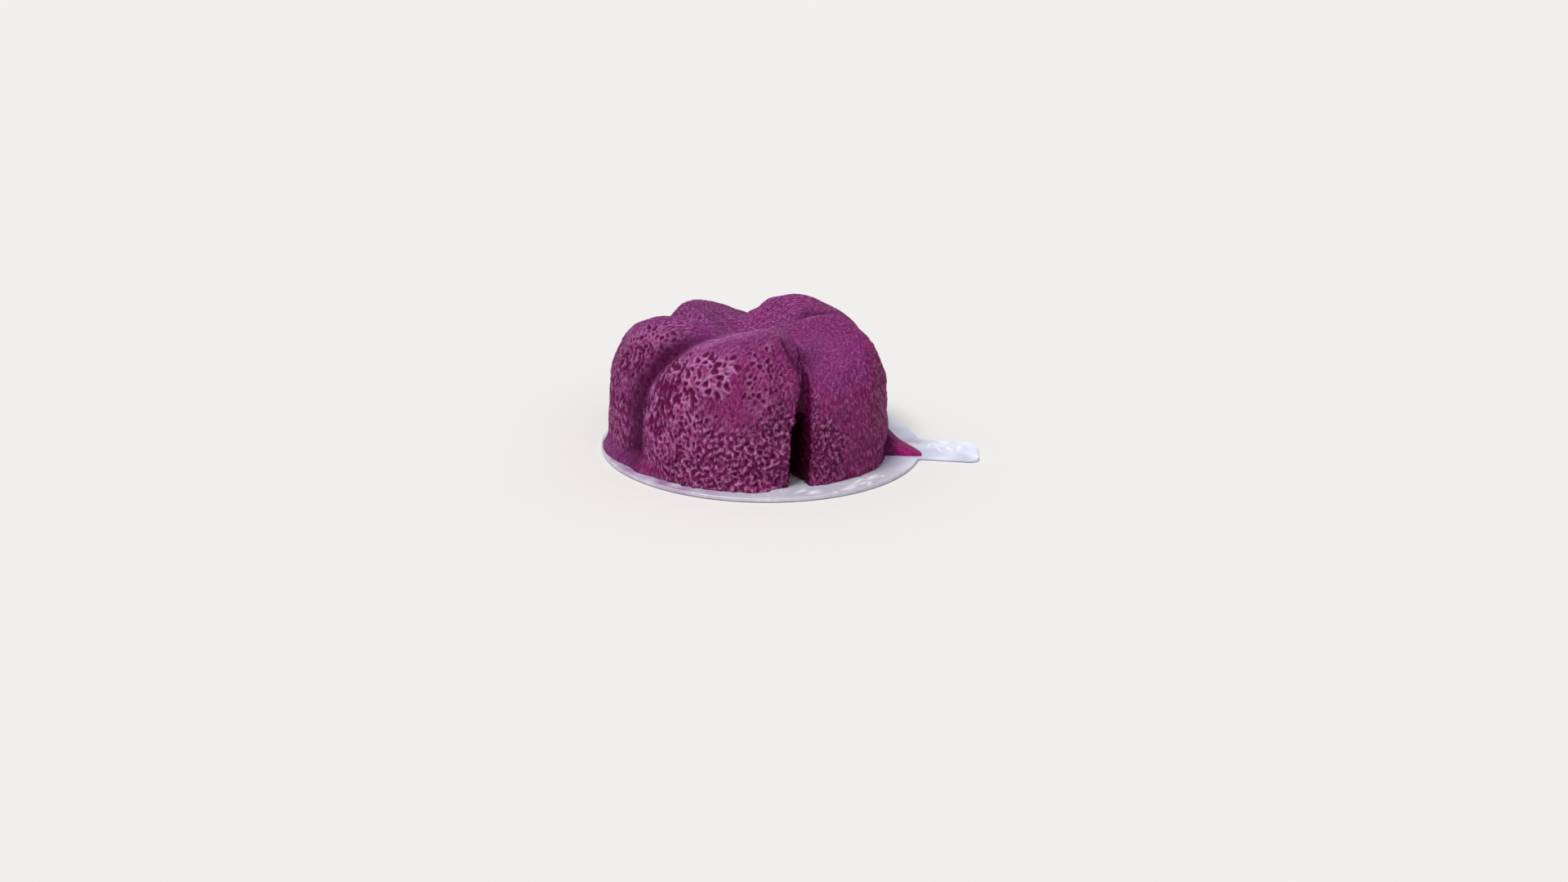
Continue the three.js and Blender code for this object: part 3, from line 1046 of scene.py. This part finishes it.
def crumbMaterial():
    look = crumbLook
    material, tree, shader = startMaterial("cake crumb")
    place = placeOn(tree)
    blotch, speck = addMarks(tree, place, look)
    hollowCrumbAndShade, paleCrumbAndHighlight = painted(tree, "hollowCrumbAndShade"), painted(tree, "paleCrumbAndHighlight")
    colour = mixColour(tree, painted(tree, "warm"), look["plum"], look["magenta"])
    skin = product(tree, painted(tree, "skin"), look["skinShare"])
    colour = mixColour(tree, skin, colour, look["violetSkin"])
    colour = mixColour(tree, painted(tree, "flap"), colour, look["flap"])
    blotched = mapRange(tree, blotch, 0.3, 0.7, 0.85, 1.12)
    tone = mathNode(tree, "ADD", blotched, mapRange(tree, speck, 0.3, 0.7, -0.15, 0.15))
    grey = addNode(tree, "ShaderNodeCombineColor", Red=tone, Green=tone, Blue=tone).outputs[0]
    colour = mixColour(tree, 1.0, colour, grey, "MULTIPLY")
    # the pale colour is partly the crumb's own and partly painted highlight
    pale = mixColour(tree, painted(tree, "warm"), look["paleLilac"], look["palePink"])
    paleness = product(tree, paleCrumbAndHighlight, mapRange(tree, speck, 0.3, 0.65, 0.45, 1.0))
    colour = mixColour(tree, paleness, colour, pale)
    grain = addNode(tree, "ShaderNodeGroup", {"node_tree": fineGrain}, Place=place,
                    Grain_Size=look["grainSize"], Drawn_Out=look["drawnOut"])
    grainy = painted(tree, "grainy")
    ridges = product(tree, grain.outputs["Ridges"], grainy)
    colour = mixColour(tree, product(tree, ridges, look["ridges"]), colour, pale)
    dots = product(tree, grain.outputs["Dots"], grainy)
    colour = mixColour(tree, product(tree, dots, look["dots"]), colour, look["deep"])
    # painted shade in pits, valleys and folds, over the crumb's darker colour there
    colour = mixColour(tree, product(tree, hollowCrumbAndShade, look["hollowCrumbAndShadeShare"]), colour, look["deep"])
    shaded = product(tree, painted(tree, "shade"), look["shade"])
    colour = mixColour(tree, shaded, colour, look["shadow"])
    height = addNode(tree, "ShaderNodeSeparateXYZ", Vector=place).outputs["Z"]
    # painted shade inside the crack: dark crumb, darkest towards the bottom
    crack = mixColour(tree, mapRange(tree, height, 0.012, 0.021), look["shadedCrackLower"], look["shadedCrackUpper"])
    colour = mixColour(tree, painted(tree, "inside"), colour, crack)
    tree.links.new(colour, shader.inputs["Base Color"])
    rough = mathNode(tree, "ADD", mapRange(tree, speck, 0.3, 0.7, 0.4, 0.6), product(tree, hollowCrumbAndShade, 0.15))
    tree.links.new(rough, shader.inputs["Roughness"])
    relief = product(tree, grain.outputs["Height"], grainy)
    bump = addNode(tree, "ShaderNodeBump", Height=relief, Strength=look["bump"], Distance=0.0006)
    tree.links.new(bump.outputs["Normal"], shader.inputs["Normal"])
    shader.inputs["Specular IOR Level"].default_value = look["specular"]
    return material


cardLook = {
    "film": (0.780, 0.825, 0.950),
    "shadeFilm": (0.560, 0.570, 0.720),
    "smear": (0.330, 0.160, 0.330),
    "greyerFilm": (0.480, 0.460, 0.530),
    "glint": (0.950, 0.960, 0.980),
    "glintShare": 0.9,
    "shadedBareCard": (0.120, 0.100, 0.100),
    "blotchSize": 0.012,
    "speckSize": 0.0012,
    "ripple": 0.004,
    "metal": 0.12,
}


def boardMaterial():
    look = cardLook
    material, tree, shader = startMaterial("silver card")
    place = placeOn(tree)
    blotch, speck = addMarks(tree, place, look)
    shadedEdge = painted(tree, "shadedBareEdge")
    colour = mixColour(tree, mapRange(tree, blotch, 0.35, 0.65), look["film"], look["shadeFilm"])
    # greyer film over the front of the disc
    greyer = product(tree, painted(tree, "greyerFront"), mapRange(tree, speck, 0.3, 0.7, 0.65, 0.95))
    colour = mixColour(tree, greyer, colour, look["greyerFilm"])
    uneven = mapRange(tree, blotch, 0.3, 0.6, 0.45, 0.95)
    smear = product(tree, painted(tree, "smeared"), uneven)
    colour = mixColour(tree, smear, colour, look["smear"])
    grain = addNode(tree, "ShaderNodeGroup", {"node_tree": fineGrain}, Place=place, Grain_Size=look["ripple"])
    glint = product(tree, painted(tree, "wrinkled"), look["glintShare"])
    colour = mixColour(tree, glint, colour, look["glint"])
    # bare card on the lower edge, painted dark as the shade under the board's rim
    colour = mixColour(tree, shadedEdge, colour, look["shadedBareCard"])
    tree.links.new(colour, shader.inputs["Base Color"])
    tree.links.new(mapRange(tree, shadedEdge, 0, 1, look["metal"], 0.0), shader.inputs["Metallic"])
    tree.links.new(mapRange(tree, speck, 0.3, 0.7, 0.28, 0.42), shader.inputs["Roughness"])
    bump = addNode(tree, "ShaderNodeBump", Height=grain.outputs["Height"], Strength=0.3, Distance=0.0005)
    tree.links.new(bump.outputs["Normal"], shader.inputs["Normal"])
    return material


def wear(piece, material):
    piece.data.materials.clear()
    piece.data.materials.append(material)


wear(cake, crumbMaterial())
wear(silverBoard, boardMaterial())
print("materials on")


studio = {
    "floorColour": (0.66, 0.655, 0.64),
    "skyColour": (0.82, 0.80, 0.82),
    "skyStrength": 0.6,
    "lamps": [  # where each shines from, how wide it looks in degrees, its strength
        {"name": "keyLight", "from": (-0.3, -0.35, 0.8), "width": 24, "strength": 2.75},
        {"name": "fillLight", "from": (0.4, -0.7, 0.5), "width": 50, "strength": 0.5},
    ],
}

view = {  # where the eye stands from the board's middle, in metres, its turning in degrees, and its lens
    "at": (0.0332, -0.2525, 0.0903),
    "turn": 6.2,
    "tilt": 19.46,
    "roll": 1.36,
    "lens": 24.45,
}


def makeFloor():
    reach = 30  # metres
    corners = [(-reach, -reach, 0), (reach, -reach, 0), (reach, reach, 0), (-reach, reach, 0)]
    floor = newObject("floor", newMesh("floor", corners, [(0, 1, 2, 3)]))
    material, _, shader = startMaterial("pale floor")
    shader.inputs["Base Color"].default_value = (*studio["floorColour"], 1)
    shader.inputs["Roughness"].default_value = 0.9
    shader.inputs["Specular IOR Level"].default_value = 0
    wear(floor, material)


def makeLights():
    world = bpy.data.worlds.new("studio")
    world.use_nodes = True
    tree = world.node_tree
    sky = tree.nodes["Background"]
    sky.inputs["Color"].default_value = (*studio["skyColour"], 1)
    sky.inputs["Strength"].default_value = studio["skyStrength"]
    # the eye sees the floor's own tone above the horizon, so that floor and backdrop run together
    onFloor = 0
    for lamp in studio["lamps"]:
        onFloor += lamp["strength"] * Vector(lamp["from"]).normalized().z / math.pi
    backdrop = [tone * (light * studio["skyStrength"] + onFloor)
                for light, tone in zip(studio["skyColour"], studio["floorColour"])]
    seen = addNode(tree, "ShaderNodeBackground", Color=(*backdrop, 1), Strength=1.0)
    choice = tree.nodes.new("ShaderNodeMixShader")
    tree.links.new(tree.nodes.new("ShaderNodeLightPath").outputs["Is Camera Ray"], choice.inputs[0])
    tree.links.new(sky.outputs[0], choice.inputs[1])
    tree.links.new(seen.outputs[0], choice.inputs[2])
    tree.links.new(choice.outputs[0], tree.nodes["World Output"].inputs["Surface"])
    bpy.context.scene.world = world
    for settings in studio["lamps"]:
        lamp = bpy.data.lights.new(settings["name"], "SUN")
        lamp.angle = settings["width"] * degree
        lamp.energy = settings["strength"]
        holder = newObject(settings["name"], lamp)
        holder.location = settings["from"]
        holder.rotation_euler = (-Vector(settings["from"])).to_track_quat("-Z", "Y").to_euler()


def makeCamera():
    turn, tilt, roll = (view[name] * degree for name in ("turn", "tilt", "roll"))
    ahead = Vector((-math.sin(turn) * math.cos(tilt), math.cos(turn) * math.cos(tilt), -math.sin(tilt)))
    level = Vector((math.cos(turn), math.sin(turn), 0))
    right = math.cos(roll) * level + math.sin(roll) * level.cross(ahead)
    upward = right.cross(ahead)
    eye = bpy.data.cameras.new("camera")
    eye.lens = view["lens"]
    eye.clip_start = 0.01
    holder = newObject("camera", eye)
    facing = Matrix((right, upward, -ahead)).transposed().to_4x4()
    holder.matrix_world = Matrix.Translation(view["at"]) @ facing
    bpy.context.scene.camera = holder


makeFloor()
makeLights()
makeCamera()
bpy.context.scene.view_settings.view_transform = "Standard"

print("scene ready")
